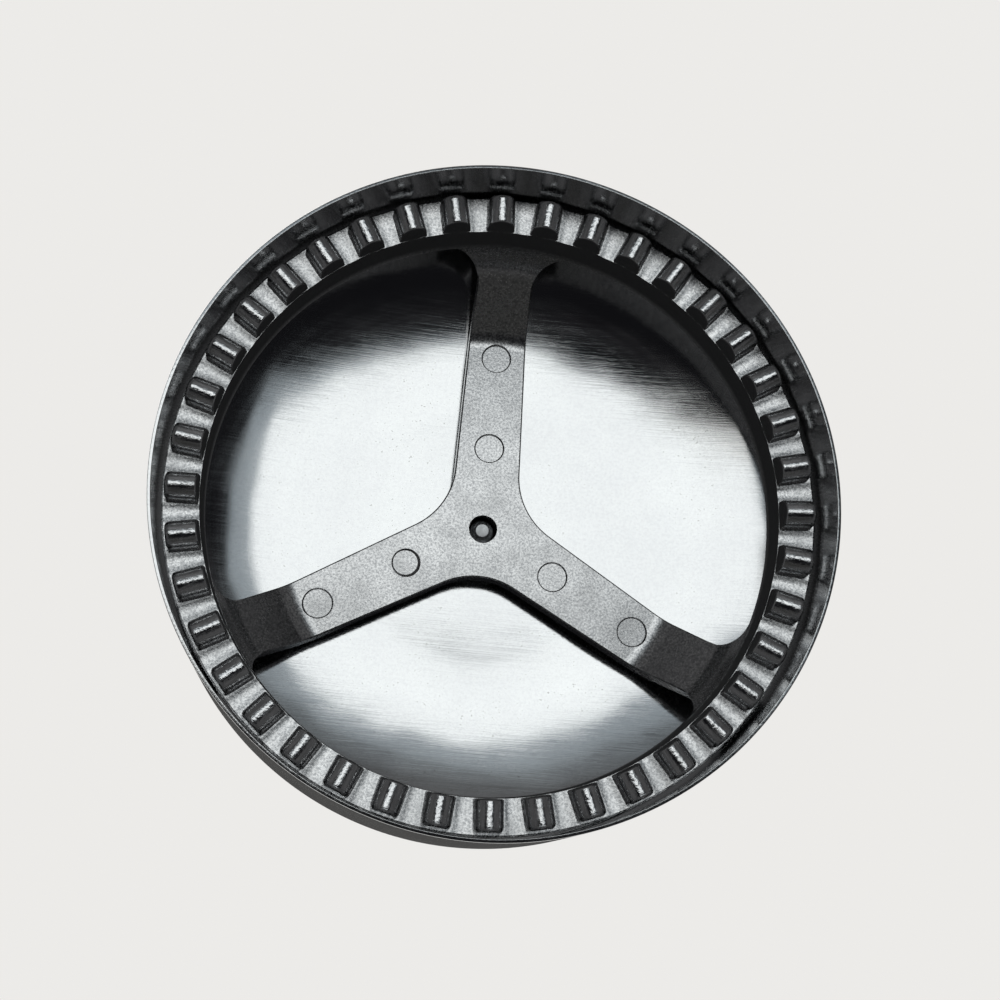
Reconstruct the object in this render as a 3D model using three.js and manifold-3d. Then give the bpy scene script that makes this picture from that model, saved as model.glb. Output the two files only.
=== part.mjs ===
// Round pastry sealer: a drawn cutter shell with a sprung crimping plunger inside it.
// Millimetres, +Z up. The cutting edge stands on z = 0, the roof of the shell is above it
// and the knob is on top. Heights are measured from the cutting edge.

import * as THREE from 'three';
import { mergeVertices } from 'three/addons/utils/BufferGeometryUtils.js';
import Module from 'manifold-3d';

const wasm = await Module();
wasm.setup();

// Clearances
const seatGap = 0.1; // between faces that seat on each other
const slideGap = 0.3; // around what slides, turns or threads

// Cutter shell
const rimRadius = 45;
const shellWall = 0.5;
const roofHeight = 29.2; // cutting edge to the inner face of the roof
const roofFlat = 18; // radius of the flat middle of the roof
const roofDome = 80; // inside radius of the slope from there out to the corner
const shellCorner = 1.6; // outside radius between wall and roof
const edgeBreak = 0.1; // chamfer on both sides of the cutting edge

// Crimping ring: the toothed rim of the casting
const ringGap = 0.5; // ring to shell wall
const ringWidth = 4.9; // valley length, measured radially
const ringDepth = 4.8; // valley floor to the ring's upper face
const ringDraft = 0.45; // how far the inner wall closes in over ringDepth
const ringChamfer = 0.25;
const crestHeight = 5.5; // cutting edge to the ridge crests
const valleyDepth = 3.4; // crest to valley floor at the inner wall
const valleySlope = 0.5; // how far the valley floor comes down towards the outside
const ridgeCount = 40;
const ridgeBase = 4.15; // width at the valley floor
const ridgeCrest = 3.8; // width where the round crest begins, twice the crest radius
const ridgeSetback = 0.5; // ridge ends to the ring's outer wall
const ridgeEndRound = 0.7; // rounding of the outer ends
const valleyAngle = 1.4; // degrees from the first spoke to the nearest valley

// Hub and spokes of the casting
const spokeCount = 3;
const castWall = 2.5;
const spokeHubWidth = 9.24; // at spokeHubRadius
const spokeHubRadius = 12;
const spokeRingWidth = 8; // at spokeRingRadius
const spokeRingRadius = 36;
const hubFillet = 10.5; // between neighbouring spokes
const rampStart = 27.4; // radius where the flat face bends towards the ring
const legHeight = 0.68; // upright part of a leg, above the ring
const lowerBend = 5; // radius at the flat face
const upperBend = 6; // radius at the leg
const legFillet = 3.3; // fillet between a spoke and the ring, seen along Z
const tappedRadius = 2.05;
const pinMarkRadius = 2.1;
const pinMarkDepth = 0.15;
const pinMarkRadii = [12.1, 25.9];

// Stem, bush and spring
const studRecess = 1; // stud tip behind the hub face
const studChamfer = 0.75;
const studReach = 12; // how far the stud goes into the knob
const lockWasherThickness = 0.9;
const sleeveWall = 1.7;
const bushWall = 1.1;
const bushLip = 0.45; // height of the lip clinched under the roof
const bushLipOverhang = 0.7;
const retainerThickness = 1;
const retainerWidth = 1.5;
const flangeThickness = 1.2;
const flangeWidth = 4.4;
const spigotHeight = 1.8; // centres the lower end of the spring
const wireRadius = 0.65;
const springRadius = 6.6; // to the middle of the wire
const springTurns = 5;
const springLength = 18; // bush flange to spring cup
const cupPlate = 1;
const cupSkirt = 2.2;
const cupWall = 1;

// Knob and its fastening
const baseWasherThickness = 1;
const knobHeight = 30;
const knobFoot = 9.5; // radius of the foot
const knobFootHeight = 3;
const knobWaist = 7.6;
const knobWaistHeight = 7.5;
const knobRadius = 17;
const knobRadiusHeight = 19.5;
const knobCrown = 12; // reach of the nearly flat crown, the handle of the dome's curve
const insertWall = 1.9;
const insertLength = 14;

// Faceting
const shellSides = 72;
const ringSides = 2 * ridgeCount;
const knobSides = 36;
const smallSides = 24;
const pinMarkSides = 16;
const arcSteps = 4;
const filletSteps = 10;
const legSteps = 6;
const knobSteps = 6; // per curve of the outline
const ridgeSteps = 5;
const ridgeEndAngles = [0, 45, 80]; // degrees, where the rounded outer end has its sections

// Levels and radii that follow from the sizes above
const roofTop = roofHeight + shellWall;
const ringOuter = rimRadius - shellWall - ringGap;
const ringInner = ringOuter - ringWidth;
const valleyInner = crestHeight + valleyDepth;
const valleyOuter = valleyInner - valleySlope;
const ringTop = valleyInner + ringDepth;
const lipTop = roofHeight - retainerThickness - 2 * seatGap;
const bushBottom = lipTop - bushLip;
const hubTop = bushBottom - slideGap; // the hub comes up to the bush
const hubHeight = hubTop - castWall; // the flat face of hub and spokes
const studRadius = tappedRadius - slideGap;
const sleeveBore = studRadius + slideGap;
const sleeveRadius = sleeveBore + sleeveWall;
const bushBore = sleeveRadius + slideGap;
const bushRadius = bushBore + bushWall;
const roofHole = bushRadius + seatGap;
const flangeTop = roofTop + seatGap + flangeThickness;
const cupBottom = flangeTop + springLength;
const cupTop = cupBottom + cupPlate;
const baseWasherBottom = cupTop + slideGap;
const knobBottom = baseWasherBottom + baseWasherThickness + seatGap;
const insertRadius = sleeveBore + insertWall;

const radians = THREE.MathUtils.degToRad;
const firstSpoke = radians(-90);
const weld = 0.5; // how far joined solids of one casting run into each other

// Meshes and solids

// Merges shared corners, drops empty triangles and turns every face outwards.
function closeMesh(source) {
  const bare = source.clone();
  bare.deleteAttribute('normal');
  bare.deleteAttribute('uv');
  const merged = mergeVertices(bare, 1e-4);
  const position = merged.attributes.position;
  const corner = (i) => new THREE.Vector3().fromBufferAttribute(position, i);
  const kept = [];
  let volume = 0;
  for (let i = 0; i < merged.index.count; i += 3) {
    const [a, b, c] = [0, 1, 2].map((j) => merged.index.getX(i + j));
    if (a === b || b === c || c === a) continue;
    kept.push(a, b, c);
    volume += corner(a).dot(corner(b).cross(corner(c)));
  }
  merged.setIndex(volume < 0 ? kept.reverse() : kept);
  return merged;
}

function toSolid(geometry) {
  const closed = closeMesh(geometry);
  return new wasm.Manifold(new wasm.Mesh({
    numProp: 3,
    vertProperties: new Float32Array(closed.attributes.position.array),
    triVerts: new Uint32Array(closed.index.array),
  }));
}

function toGeometry(solid) {
  const mesh = solid.getMesh();
  const geometry = new THREE.BufferGeometry();
  geometry.setAttribute('position', new THREE.BufferAttribute(mesh.vertProperties, 3));
  geometry.setIndex(new THREE.BufferAttribute(mesh.triVerts, 1));
  return geometry;
}

// Revolves a closed outline of [radius, height] points. The first corner of the turned
// polygon points along -Y, plus the given turn.
function revolve(outline, sides, turn = 0) {
  const points = [...outline, outline[0]].map(([radius, height]) => new THREE.Vector2(radius, height));
  const geometry = new THREE.LatheGeometry(points, sides, turn);
  geometry.rotateX(Math.PI / 2);
  return closeMesh(geometry);
}

function washer(bore, radius, thickness) {
  return revolve([[bore, 0], [radius, 0], [radius, thickness], [bore, thickness]], smallSides);
}

// Points of an arc about a centre, from one angle to another, in radians.
function arc([x, y], radius, from, to, steps = arcSteps) {
  return Array.from({ length: steps + 1 }, (_, i) => {
    const angle = THREE.MathUtils.lerp(from, to, i / steps);
    return [x + radius * Math.cos(angle), y + radius * Math.sin(angle)];
  });
}

function prism(shape, bottom, top) {
  const geometry = new THREE.ExtrudeGeometry(shape, {
    depth: top - bottom,
    bevelEnabled: false,
    curveSegments: filletSteps,
  });
  geometry.translate(0, 0, bottom);
  return geometry;
}

// Skins a row of equal closed sections, each an array of Vector3, and caps both ends.
function loft(sections) {
  const sides = sections[0].length;
  const triangles = [];
  for (let row = 0; row + 1 < sections.length; row += 1) {
    for (let i = 0; i < sides; i += 1) {
      const a = row * sides + i;
      const b = row * sides + ((i + 1) % sides);
      triangles.push(a, b, a + sides, b, b + sides, a + sides);
    }
  }
  const last = (sections.length - 1) * sides;
  for (let i = 1; i + 1 < sides; i += 1) {
    triangles.push(0, i + 1, i, last, last + i, last + i + 1);
  }
  const geometry = new THREE.BufferGeometry().setFromPoints(sections.flat());
  geometry.setIndex(triangles);
  return closeMesh(geometry);
}

// Cutter shell: a drawn cup with a cutting edge below and a domed roof, with a hole for the bush

function shellGeometry() {
  const inside = rimRadius - shellWall;
  const bend = rimRadius - shellCorner;
  const dome = [roofFlat, roofHeight - roofDome];
  const rise = Math.sqrt((roofDome + shellWall - shellCorner) ** 2 - (bend - roofFlat) ** 2);
  const corner = [bend, dome[1] + rise];
  const turn = Math.atan2(rise, bend - roofFlat);
  const level = Math.PI / 2;
  return revolve([
    [inside, edgeBreak],
    [inside + edgeBreak, 0],
    [rimRadius - edgeBreak, 0],
    [rimRadius, edgeBreak],
    ...arc(corner, shellCorner, 0, turn),
    ...arc(dome, roofDome + shellWall, turn, level).slice(1),
    [roofHole, roofTop],
    [roofHole, roofHeight],
    ...arc(dome, roofDome, level, turn),
    ...arc(corner, shellCorner - shellWall, turn, 0).slice(1),
  ], shellSides);
}

// Crimping spider: one casting of ring, ridges, three bent spokes and a tapped hub

const ringTurn = radians(valleyAngle) - Math.PI / ringSides;

function innerWallAt(height) {
  return ringInner - (ringDraft * (height - valleyInner)) / ringDepth;
}

function ringSolid() {
  return toSolid(revolve([
    [innerWallAt(ringTop), ringTop],
    [ringInner, valleyInner],
    [ringOuter - ringChamfer, valleyOuter],
    [ringOuter, valleyOuter + ringChamfer],
    [ringOuter, ringTop],
  ], ringSides, ringTurn));
}

// One ridge along +X: a round-crested bar whose outer end is rounded off all over.
function ridgeSections() {
  const root = valleyInner + weld;
  const end = ringOuter - ridgeSetback;
  const crestRadius = ridgeCrest / 2;
  const centre = [0, crestHeight + crestRadius];
  const section = (radius, inset) => {
    const crest = arc(centre, crestRadius - inset, Math.PI, 2 * Math.PI, ridgeSteps);
    const foot = ridgeBase / 2 - inset;
    return [[-foot, root], ...crest, [foot, root]]
      .map(([across, height]) => new THREE.Vector3(radius, across, height));
  };
  const rounded = ridgeEndAngles.map((degrees) => {
    const angle = radians(degrees);
    return section(end - ridgeEndRound * (1 - Math.sin(angle)), ridgeEndRound * (1 - Math.cos(angle)));
  });
  return [section(ringInner - weld, 0), ...rounded];
}

function ridgesSolid() {
  const ridge = toSolid(loft(ridgeSections()));
  const pitch = 360 / ridgeCount;
  let ridges = null;
  for (let i = 0; i < ridgeCount; i += 1) {
    const turned = ridge.rotate([0, 0, -90 + valleyAngle + (i + 0.5) * pitch]);
    ridges = ridges ? ridges.add(turned) : turned;
  }
  const top = valleyInner + 2 * weld;
  const band = toSolid(revolve([
    [innerWallAt(top), top],
    [innerWallAt(0), 0],
    [ringOuter, 0],
    [ringOuter, top],
  ], ringSides, ringTurn));
  return ridges.intersect(band);
}

// The bent face of the spokes, from the tapped hole out and down to the ring, moved towards
// the roof by the given distance. The ramp is the common tangent of the two bends.
function dishFace(offset) {
  const lower = [rampStart, hubHeight - lowerBend];
  const upper = [innerWallAt(ringTop) - upperBend, ringTop + legHeight];
  const run = upper[0] - lower[0];
  const drop = lower[1] - upper[1];
  const slope = Math.atan2(drop, run) + Math.asin((lowerBend - upperBend) / Math.hypot(run, drop));
  const bend = (centre, radius, from, to) => (
    arc(centre, radius + offset, Math.PI / 2 - from, Math.PI / 2 - to)
  );
  return [
    [tappedRadius, hubHeight + offset],
    ...bend(lower, lowerBend, 0, slope),
    ...bend(upper, upperBend, slope, Math.PI / 2),
    [innerWallAt(ringTop - weld) + offset, ringTop - weld],
  ];
}

// Plan of the hub and spokes: tapered arms with a round fillet between neighbours.
function spokePlan() {
  const halfHub = spokeHubWidth / 2;
  const halfRing = spokeRingWidth / 2;
  const taper = Math.atan((halfHub - halfRing) / (spokeRingRadius - spokeHubRadius));
  const halfAt = (radius) => halfHub - (radius - spokeHubRadius) * Math.tan(taper);
  const step = (2 * Math.PI) / spokeCount;
  const edgeToBisector = step / 2 + taper;
  const filletCentre = (halfAt(0) * Math.cos(taper) + hubFillet) / Math.sin(edgeToBisector);
  const shape = new THREE.Shape();
  for (let i = 0; i < spokeCount; i += 1) {
    const along = firstSpoke + i * step;
    const spin = (x, y) => new THREE.Vector2(x, y).rotateAround(new THREE.Vector2(), along);
    const tip = [spin(ringOuter, -halfAt(ringOuter)), spin(ringOuter, halfAt(ringOuter))];
    if (i === 0) shape.moveTo(tip[0].x, tip[0].y);
    else shape.lineTo(tip[0].x, tip[0].y);
    shape.lineTo(tip[1].x, tip[1].y);
    const centre = spin(filletCentre * Math.cos(step / 2), filletCentre * Math.sin(step / 2));
    const start = along - Math.PI / 2 - taper;
    const finish = start - (Math.PI - step - 2 * taper);
    shape.absarc(centre.x, centre.y, hubFillet, start, finish, true);
  }
  shape.closePath();
  return shape;
}

// Upright outline of a leg, across and along Z, whose sides follow the leg's bent face so that
// the leg meets the ring in a round fillet when seen along Z.
function flareShape() {
  const half = spokeRingWidth / 2;
  const sides = [[half + legFillet + legHeight, ringTop - weld], [half + legFillet + legHeight, ringTop]];
  for (let i = 0; i <= legSteps; i += 1) {
    const angle = (i / legSteps) * (Math.PI / 2);
    const inward = upperBend - legFillet * (1 - Math.cos(angle));
    const height = ringTop + legHeight + Math.sqrt(upperBend ** 2 - inward ** 2);
    sides.push([half + legFillet * (1 - Math.sin(angle)), height]);
  }
  const mirrored = sides.map(([across, height]) => [-across, height]).reverse();
  return new THREE.Shape([...sides, ...mirrored].map((point) => new THREE.Vector2(...point)));
}

function spokesSolid() {
  const dish = toSolid(revolve([...dishFace(0), ...dishFace(castWall).reverse()], ringSides, ringTurn));
  let outline = toSolid(prism(spokePlan(), ringTop - weld, hubTop + weld));
  for (let i = 0; i < spokeCount; i += 1) {
    const along = firstSpoke + (i * 2 * Math.PI) / spokeCount;
    const flare = prism(flareShape(), spokeRingRadius, ringOuter);
    flare.applyMatrix4(new THREE.Matrix4().makeBasis(
      new THREE.Vector3(-Math.sin(along), Math.cos(along), 0),
      new THREE.Vector3(0, 0, 1),
      new THREE.Vector3(Math.cos(along), Math.sin(along), 0),
    ));
    outline = outline.add(toSolid(flare));
  }
  return dish.intersect(outline);
}

// Shallow round marks that the ejector pins leave on each spoke.
function pinMarksSolid() {
  let marks = null;
  for (let i = 0; i < spokeCount; i += 1) {
    const along = firstSpoke + (i * 2 * Math.PI) / spokeCount;
    for (const radius of pinMarkRadii) {
      const pin = new THREE.CylinderGeometry(pinMarkRadius, pinMarkRadius, 2 * pinMarkDepth, pinMarkSides);
      pin.rotateX(Math.PI / 2);
      pin.translate(radius * Math.cos(along), radius * Math.sin(along), hubHeight);
      marks = marks ? marks.add(toSolid(pin)) : toSolid(pin);
    }
  }
  return marks;
}

function spiderGeometry() {
  const casting = ringSolid().add(ridgesSolid()).add(spokesSolid());
  return toGeometry(casting.subtract(pinMarksSolid()));
}

// Guide bush with a flange on the roof, a spigot for the spring and a lip clinched below

function bushGeometry() {
  const flangeBottom = roofTop + seatGap;
  const spigotTop = flangeTop + spigotHeight;
  return revolve([
    [bushBore, bushBottom],
    [bushRadius + bushLipOverhang, bushBottom],
    [bushRadius + bushLipOverhang, lipTop],
    [bushRadius, lipTop],
    [bushRadius, flangeBottom],
    [bushRadius + flangeWidth, flangeBottom],
    [bushRadius + flangeWidth, flangeTop],
    [bushRadius, flangeTop],
    [bushRadius, spigotTop],
    [bushBore, spigotTop],
  ], smallSides);
}

// Return spring: one wire wound up from the bush flange to the spring cup

// The wire's path: a straight foot, a bend into the coil, the turns, and the same at the top.
function springPath() {
  const bottom = flangeTop + seatGap;
  const top = cupBottom - seatGap;
  const foot = 2 * wireRadius;
  const elbow = 1.5 * wireRadius;
  const coilBottom = bottom + foot + elbow;
  const coilTop = top - foot - elbow;
  const elbowTurn = elbow / springRadius;
  const stepsPerTurn = 8;
  const steps = springTurns * stepsPerTurn;
  const wind = 2 * Math.PI * springTurns;
  const at = (angle, height) => (
    new THREE.Vector3(springRadius * Math.cos(angle), springRadius * Math.sin(angle), height)
  );
  const lean = Math.sin(Math.PI / 4);
  const bend = elbowTurn * (1 - lean);
  const path = [at(0, bottom), at(0, bottom + foot), at(bend, bottom + foot + elbow * lean)];
  for (let i = 0; i <= steps; i += 1) {
    const share = i / steps;
    path.push(at(elbowTurn + wind * share, THREE.MathUtils.lerp(coilBottom, coilTop, share)));
  }
  const end = wind + 2 * elbowTurn;
  path.push(at(end - bend, top - foot - elbow * lean), at(end, top - foot), at(end, top));
  return path;
}

// Five-sided wire sections, carried along the path without twisting.
function wireSections(path) {
  const sides = 5;
  let side = new THREE.Vector3(1, 0, 0);
  return path.map((point, i) => {
    const before = path[Math.max(i - 1, 0)];
    const after = path[Math.min(i + 1, path.length - 1)];
    const ahead = after.clone().sub(before).normalize();
    side = side.clone().addScaledVector(ahead, -side.dot(ahead)).normalize();
    const up = ahead.clone().cross(side);
    return Array.from({ length: sides }, (_, j) => {
      const angle = (2 * Math.PI * j) / sides;
      return point.clone()
        .addScaledVector(side, wireRadius * Math.cos(angle))
        .addScaledVector(up, wireRadius * Math.sin(angle));
    });
  });
}

// Least distance between points of the wire that lie more than half a turn apart.
function leastWireGap(path) {
  const apart = 5;
  let least = Infinity;
  path.forEach((point, i) => {
    path.slice(i + apart).forEach((other) => {
      least = Math.min(least, point.distanceTo(other) - 2 * wireRadius);
    });
  });
  return least;
}

function springGeometry() {
  const path = springPath();
  console.log(`return_spring: least gap between turns ${leastWireGap(path).toFixed(2)} mm`);
  return loft(wireSections(path));
}

// Spring cup: a pressed cap over the upper end of the spring

function cupGeometry() {
  const bore = sleeveRadius + slideGap;
  const inside = springRadius + wireRadius + slideGap;
  return revolve([
    [bore, cupBottom],
    [inside, cupBottom],
    [inside, cupBottom - cupSkirt],
    [inside + cupWall, cupBottom - cupSkirt],
    [inside + cupWall, cupTop],
    [bore, cupTop],
  ], smallSides);
}

// Knob: a moulded handle with a foot, a waist, a domed head and a blind hole for the insert

function knobGeometry() {
  const outline = new THREE.Path();
  outline.moveTo(knobFoot, 0);
  outline.lineTo(knobFoot, knobFootHeight);
  outline.quadraticCurveTo(knobWaist, knobFootHeight, knobWaist, knobWaistHeight);
  const flare = (knobRadiusHeight - knobWaistHeight) / 2;
  outline.bezierCurveTo(
    knobWaist, knobWaistHeight + flare,
    knobRadius, knobRadiusHeight - flare,
    knobRadius, knobRadiusHeight,
  );
  const dome = (knobHeight - knobRadiusHeight) / 2;
  outline.bezierCurveTo(
    knobRadius, knobRadiusHeight + dome,
    knobCrown, knobHeight,
    0, knobHeight,
  );
  const hole = insertRadius + seatGap;
  const holeTop = insertLength + 2 * seatGap;
  const profile = outline.getPoints(knobSteps).map((point) => [point.x, point.y]);
  return revolve([...profile, [0, holeTop], [hole, holeTop], [hole, 0]], knobSides);
}

// Stem stud: a threaded rod from the tapped hub up through the sleeve into the knob's insert

function studGeometry() {
  const bottom = hubHeight + studRecess;
  const top = knobBottom + studReach;
  const end = studRadius - studChamfer;
  return revolve([
    [0, bottom],
    [end, bottom],
    [studRadius, bottom + studChamfer],
    [studRadius, top - studChamfer],
    [end, top],
    [0, top],
  ], smallSides);
}

// Assembly

const finish = {
  chrome: new THREE.MeshStandardMaterial({ color: 0xc9cbcc, roughness: 0.12, metalness: 1 }),
  casting: new THREE.MeshStandardMaterial({ color: 0xb4b7ba, roughness: 0.42, metalness: 1 }),
  steel: new THREE.MeshStandardMaterial({ color: 0x9a9da0, roughness: 0.3, metalness: 1 }),
  brass: new THREE.MeshStandardMaterial({ color: 0xb79a55, roughness: 0.3, metalness: 1 }),
  plastic: new THREE.MeshStandardMaterial({ color: 0x18191b, roughness: 0.28, metalness: 0 }),
};

function addPiece(group, name, geometry, material, height = 0) {
  const mesh = new THREE.Mesh(geometry, material);
  mesh.name = name;
  mesh.position.z = height;
  group.add(mesh);
}

// What stays with the shell
const body = new THREE.Group();
addPiece(body, 'cutter_shell', shellGeometry(), finish.chrome);
addPiece(body, 'guide_bush', bushGeometry(), finish.brass);
const retainer = washer(bushRadius + seatGap, bushRadius + retainerWidth, retainerThickness);
addPiece(body, 'bush_retainer', retainer, finish.steel, lipTop + seatGap);
addPiece(body, 'return_spring', springGeometry(), finish.steel);

// What is pressed down, apart from the cup, can also turn
const plunger = new THREE.Group();
addPiece(plunger, 'spring_cup', cupGeometry(), finish.steel);
addPiece(plunger, 'crimping_spider', spiderGeometry(), finish.casting);
const lockWasherBottom = hubTop + seatGap;
const lockWasher = washer(sleeveBore, sleeveRadius, lockWasherThickness);
addPiece(plunger, 'hub_lock_washer', lockWasher, finish.steel, lockWasherBottom);
const sleeveBottom = lockWasherBottom + lockWasherThickness + seatGap;
const sleeve = washer(sleeveBore, sleeveRadius, baseWasherBottom - seatGap - sleeveBottom);
addPiece(plunger, 'stem_sleeve', sleeve, finish.steel, sleeveBottom);
const baseWasher = washer(sleeveBore, knobFoot, baseWasherThickness);
addPiece(plunger, 'knob_base_washer', baseWasher, finish.steel, baseWasherBottom);
addPiece(plunger, 'knob', knobGeometry(), finish.plastic, knobBottom);
const insert = washer(sleeveBore, insertRadius, insertLength);
addPiece(plunger, 'knob_insert', insert, finish.brass, knobBottom + seatGap);
addPiece(plunger, 'stem_stud', studGeometry(), finish.steel);

const sealer = new THREE.Group();
sealer.add(body, plunger);

export default sealer;
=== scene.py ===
"""Looks of the round pastry sealer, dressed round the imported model. Metres, +Z up.

The cutting edge stands on z = 0 and the knob is on top. The main camera looks up into the open side.
"""
import math

import bpy
import numpy as np
from mathutils import Matrix, Vector


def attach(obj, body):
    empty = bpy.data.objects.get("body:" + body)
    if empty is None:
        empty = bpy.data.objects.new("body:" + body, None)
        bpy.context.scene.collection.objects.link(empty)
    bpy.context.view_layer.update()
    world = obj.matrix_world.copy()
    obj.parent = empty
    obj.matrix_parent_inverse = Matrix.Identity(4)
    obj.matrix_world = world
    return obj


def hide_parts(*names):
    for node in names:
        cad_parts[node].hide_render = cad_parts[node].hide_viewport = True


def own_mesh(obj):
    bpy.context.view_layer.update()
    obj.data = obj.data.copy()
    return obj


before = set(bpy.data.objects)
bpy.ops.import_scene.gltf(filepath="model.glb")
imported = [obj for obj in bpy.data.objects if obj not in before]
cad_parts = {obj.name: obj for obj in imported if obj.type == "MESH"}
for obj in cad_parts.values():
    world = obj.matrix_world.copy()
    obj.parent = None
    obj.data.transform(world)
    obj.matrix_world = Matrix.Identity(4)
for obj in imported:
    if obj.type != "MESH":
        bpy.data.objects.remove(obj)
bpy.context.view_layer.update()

MM = 0.001

# Sizes of the model, in millimetres
SEAT_GAP = 0.1
SLIDE_GAP = 0.3

RIM_RADIUS = 45.0
SHELL_WALL = 0.5
ROOF_HEIGHT = 29.2
ROOF_FLAT = 18.0
ROOF_DOME = 80.0
SHELL_CORNER = 1.6
EDGE_ROUND = 0.1

RING_OUTER = 44.0
RING_INNER = 39.1
RING_TOP = 13.7
RING_DRAFT = 0.45
RING_CHAMFER = 0.25
VALLEY_INNER = 8.9
VALLEY_OUTER = 8.4
VALLEY_HOLLOW = 0.1
CREST_HEIGHT = 5.5
CREST_LEAN = 0.4  # how much further up the inner end of a crest is
RIDGE_COUNT = 40
RIDGE_BASE = 4.15
RIDGE_CREST = 3.8
RIDGE_ROOT = 0.6  # how far a ridge reaches into the ring
RIDGE_SETBACK = 0.5
RIDGE_END_ROUND = 0.7
RIDGE_END_TURN = 84.0  # degrees of the outer end's rounding
RIDGE_INNER_ROUND = 0.25
RIDGE_INSIDE = 0.01  # keeps a ridge's inner end off the ring's own wall
VALLEY_ANGLE = math.radians(1.4)

SPOKE_COUNT = 3
FIRST_SPOKE = -math.pi / 2
HUB_HEIGHT = 24.75
CAST_WALL = 2.5
SPOKE_HUB_HALF = 4.62
SPOKE_HUB_RADIUS = 12.0
SPOKE_RING_HALF = 4.0
SPOKE_RING_RADIUS = 36.0
HUB_FILLET = 10.5
HUB_STOP = 0.5  # how far before the ramp the hub's plate ends
RAMP_START = 27.4
SPOKE_LAP = 3.0  # how far before the ramp a spoke starts, inside the hub's plate
LEG_LAP = 1.0  # how far a leg reaches into the ring
LOWER_BEND = 5.0
UPPER_BEND = 6.0
LEG_HEIGHT = 0.68
LEG_FILLET = 3.3
SPOKE_CHAMFER = 0.2
TAPPED_RADIUS = 2.05
PIN_MARK_RADIUS = 2.2
PIN_MARK_DEPTH = 0.24
PIN_MARK_RADII = (12.1, 25.9)
PIN_MARK_EDGE = 0.4
UNEVEN_MARK = (2, 12.1)  # spoke and radius of a mark whose edge is wider on one side
UNEVEN_SHIFT = (-0.2, -0.14)

STUD_RECESS = 1.0
STUD_REACH = 12.0
STUD_CHAMFER = 0.75
STUD_DOME = 0.03
STUD_DOME_SHARES = (0.1, 0.4, 0.7, 0.9)  # of the tip's radius, where the dome has its rings
THREAD_PITCH = 0.7
THREAD_DEPTH = 0.4
THREAD_SLOPE = 1.3  # above 1 it leaves flats on the crests and in the roots
LOCK_WASHER_THICKNESS = 0.9
SLEEVE_WALL = 1.7
BUSH_WALL = 1.1
LIP_HEIGHT = 0.45
LIP_OVERHANG = 0.7
RETAINER_THICKNESS = 1.0
RETAINER_WIDTH = 1.5
FLANGE_THICKNESS = 1.2
FLANGE_WIDTH = 4.4
SPIGOT_HEIGHT = 1.8
WIRE_RADIUS = 0.65
WIRE_CHAMFER = 0.13
SPRING_RADIUS = 6.6
SPRING_TURNS = 5
SPRING_LENGTH = 18.0
CUP_PLATE = 1.0
CUP_SKIRT = 2.2
CUP_WALL = 1.0
BASE_WASHER_THICKNESS = 1.0
KNOB_HEIGHT = 30.0
KNOB_FOOT = 9.5
KNOB_FOOT_HEIGHT = 3.0
KNOB_WAIST = 7.6
KNOB_WAIST_HEIGHT = 7.5
KNOB_RADIUS = 17.0
KNOB_RADIUS_HEIGHT = 19.5
KNOB_CROWN = 12.0
INSERT_WALL = 1.9
INSERT_LENGTH = 14.0

# Radii and levels that follow from them
STUD_RADIUS = TAPPED_RADIUS - SLIDE_GAP
SLEEVE_RADIUS = TAPPED_RADIUS + SLEEVE_WALL
BUSH_BORE = SLEEVE_RADIUS + SLIDE_GAP
BUSH_RADIUS = BUSH_BORE + BUSH_WALL
ROOF_HOLE = BUSH_RADIUS + SEAT_GAP
CUP_INSIDE = SPRING_RADIUS + WIRE_RADIUS + SLIDE_GAP
INSERT_RADIUS = TAPPED_RADIUS + INSERT_WALL
HUB_TOP = HUB_HEIGHT + CAST_WALL
LIP_BOTTOM = HUB_TOP + SLIDE_GAP
LIP_TOP = LIP_BOTTOM + LIP_HEIGHT
ROOF_TOP = ROOF_HEIGHT + SHELL_WALL
FLANGE_BOTTOM = ROOF_TOP + SEAT_GAP
FLANGE_TOP = FLANGE_BOTTOM + FLANGE_THICKNESS
CUP_BOTTOM = FLANGE_TOP + SPRING_LENGTH
CUP_TOP = CUP_BOTTOM + CUP_PLATE
BASE_WASHER_BOTTOM = CUP_TOP + SLIDE_GAP
BASE_WASHER_TOP = BASE_WASHER_BOTTOM + BASE_WASHER_THICKNESS
KNOB_BOTTOM = BASE_WASHER_TOP + SEAT_GAP
RIDGE_PITCH = math.tau / RIDGE_COUNT
SPOKE_PITCH = math.tau / SPOKE_COUNT

# Fineness of the meshes
CORNER_STEPS = 5
RIM_CORNER_STEPS = 12
TURNED_SIDES = 96
KNOB_SIDES = 128
KNOB_STEPS = (16, 28, 36)  # up to the waist, up to the widest place and over the dome
SHELL_SIDES = 288
VALLEY_SIDES = 24  # for each ridge
VALLEY_ROWS = 8
RIDGE_INNER_ROWS = 8
RIDGE_END_ROWS = 11
CREST_STEPS = 28
SPOKE_COLUMNS = 11
LOWER_BEND_STEPS = 14
UPPER_BEND_STEPS = 30
RAMP_ROWS = 6
HUB_FILLET_STEPS = 32
PIN_MARK_SIDES = 48
ELBOW_ROWS = 7
TURN_STEPS = 40
WIRE_SIDES = 14
THREAD_SIDES = 36
THREAD_ROWS = 8  # for each turn
DOME_STEPS = 24
SHELL_CORNER_STEPS = 10
SHARP_EDGE = math.radians(20)
FACE_WEIGHT = 100  # lets large faces set the shading of the roundings beside them
VALLEY_MARGIN = 0.01  # points no further than this above the valleys belong to their floors
ON_AXIS = 1e-6  # a smaller radius is a point on the axis


# Meshes

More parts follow.
